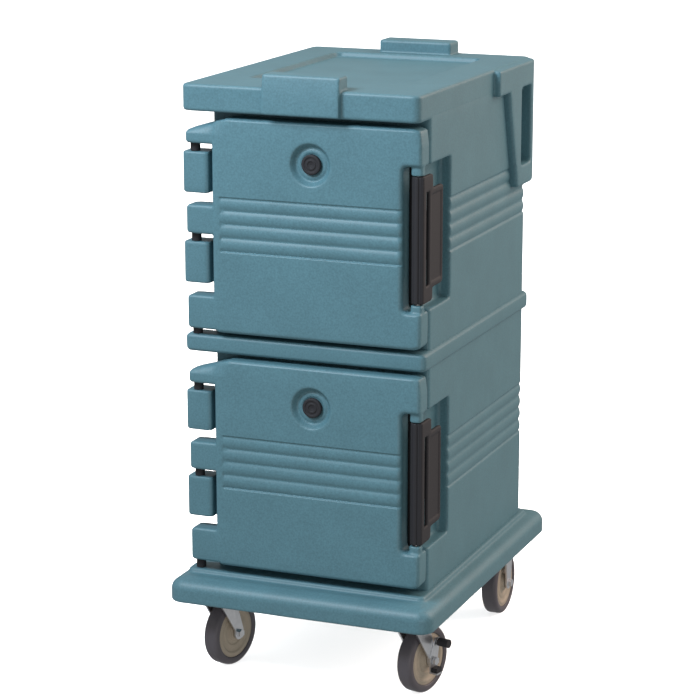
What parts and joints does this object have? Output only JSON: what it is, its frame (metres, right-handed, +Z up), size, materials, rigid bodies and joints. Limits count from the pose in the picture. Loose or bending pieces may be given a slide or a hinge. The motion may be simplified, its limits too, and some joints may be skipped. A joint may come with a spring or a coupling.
{
  "type": "insulated food carrier",
  "caption": "Upright insulated food carrier on casters, with stacked front-loading compartments, side-hinged doors, latches, vents and moulded handles.",
  "frame": {"origin": "on the floor under the centre of the bumper", "axes": "+X to the right seen from the front, +Y to the rear, +Z up; the doors face -Y"},
  "size_m": [0.521, 0.689, 1.143],
  "materials": {
    "shell": "rotomoulded polyethylene, fine matte texture",
    "foam": "rigid polyurethane foam",
    "black_nylon": "moulded black nylon",
    "gasket": "silicone, matt",
    "zinc_steel": "zinc plated",
    "brass": "plain",
    "bush": "sintered bush, grey",
    "wheel_core": "moulded nylon, taupe",
    "tyre": "polyurethane tread, satin"
  },
  "bodies": {
    "cabinet": {"body_shell": "shell", "foam_core": "foam", "upper_keeper": "black_nylon", "lower_keeper": "black_nylon", "keeper_screws": "zinc_steel", "caster_inserts": "brass", "caster_bolts": "zinc_steel", "fl_top_plate": "zinc_steel", "fl_king_bolt": "zinc_steel", "fl_ball_race": "zinc_steel", "fr_top_plate": "zinc_steel", "fr_king_bolt": "zinc_steel", "fr_ball_race": "zinc_steel", "rl_frame": "zinc_steel", "rl_axle": "zinc_steel", "rl_bush": "bush", "rr_frame": "zinc_steel", "rr_axle": "zinc_steel", "rr_bush": "bush"},
    "upper_door": {"upper_door_shell": "shell", "upper_door_foam": "foam", "upper_gasket": "gasket", "upper_hinge_pins": "black_nylon", "upper_latch_pin": "zinc_steel", "upper_vent_sleeve": "black_nylon"},
    "upper_latch": {"upper_latch_handle": "black_nylon"},
    "upper_vent": {"upper_vent_cap": "black_nylon"},
    "lower_door": {"lower_door_shell": "shell", "lower_door_foam": "foam", "lower_gasket": "gasket", "lower_hinge_pins": "black_nylon", "lower_latch_pin": "zinc_steel", "lower_vent_sleeve": "black_nylon"},
    "lower_latch": {"lower_latch_handle": "black_nylon"},
    "lower_vent": {"lower_vent_cap": "black_nylon"},
    "front_left_swivel": {"fl_fork": "zinc_steel", "fl_axle": "zinc_steel", "fl_bush": "bush"},
    "front_left_wheel": {"fl_wheel": "wheel_core", "fl_tyre": "tyre"},
    "front_right_swivel": {"fr_fork": "zinc_steel", "fr_axle": "zinc_steel", "fr_bush": "bush"},
    "front_right_wheel": {"fr_wheel": "wheel_core", "fr_tyre": "tyre"},
    "rear_left_wheel": {"rl_wheel": "wheel_core", "rl_tyre": "tyre"},
    "rear_right_wheel": {"rr_wheel": "wheel_core", "rr_tyre": "tyre"},
    "brake": {"fr_brake_lever": "zinc_steel", "fr_brake_pads": "black_nylon"}
  },
  "joints": [
    {"name": "upper_door_hinge", "type": "hinge", "parent": "cabinet", "child": "upper_door", "pos_m": [-0.218, -0.281, 0.864], "axis": [0, 0, -1], "range_deg": [0, 260]},
    {"name": "upper_latch_pivot", "type": "hinge", "parent": "upper_door", "child": "upper_latch", "pos_m": [0.213, -0.287, 0.854], "axis": [0, 0, -1], "range_deg": [0, 105]},
    {"name": "upper_vent_slide", "type": "slide", "parent": "upper_door", "child": "upper_vent", "axis": [0, -1, 0], "range_m": [0, 0.006]},
    {"name": "lower_door_hinge", "type": "hinge", "parent": "cabinet", "child": "lower_door", "pos_m": [-0.218, -0.281, 0.42], "axis": [0, 0, -1], "range_deg": [0, 260]},
    {"name": "lower_latch_pivot", "type": "hinge", "parent": "lower_door", "child": "lower_latch", "pos_m": [0.213, -0.287, 0.41], "axis": [0, 0, -1], "range_deg": [0, 105]},
    {"name": "lower_vent_slide", "type": "slide", "parent": "lower_door", "child": "lower_vent", "axis": [0, -1, 0], "range_m": [0, 0.006]},
    {"name": "front_left_swivel", "type": "hinge", "parent": "cabinet", "child": "front_left_swivel", "pos_m": [-0.195, -0.263, 0.145], "axis": [0, 0, 1], "continuous": true},
    {"name": "front_left_spin", "type": "hinge", "parent": "front_left_swivel", "child": "front_left_wheel", "pos_m": [-0.18581, -0.22613, 0.0635], "axis": [0.9703, -0.2419, 0], "continuous": true},
    {"name": "front_right_swivel", "type": "hinge", "parent": "cabinet", "child": "front_right_swivel", "pos_m": [0.195, -0.263, 0.145], "axis": [0, 0, 1], "continuous": true},
    {"name": "front_right_spin", "type": "hinge", "parent": "front_right_swivel", "child": "front_right_wheel", "pos_m": [0.20419, -0.22613, 0.0635], "axis": [0.9703, -0.2419, 0], "continuous": true},
    {"name": "rear_left_spin", "type": "hinge", "parent": "cabinet", "child": "rear_left_wheel", "pos_m": [-0.195, 0.24, 0.0635], "axis": [1, 0, 0], "continuous": true},
    {"name": "rear_right_spin", "type": "hinge", "parent": "cabinet", "child": "rear_right_wheel", "pos_m": [0.195, 0.24, 0.0635], "axis": [1, 0, 0], "continuous": true},
    {"name": "brake_rock", "type": "hinge", "parent": "front_right_swivel", "child": "brake", "pos_m": [0.20419, -0.22613, 0.0635], "axis": [-0.9703, 0.2419, 0], "range_deg": [0, 12]}
  ]
}
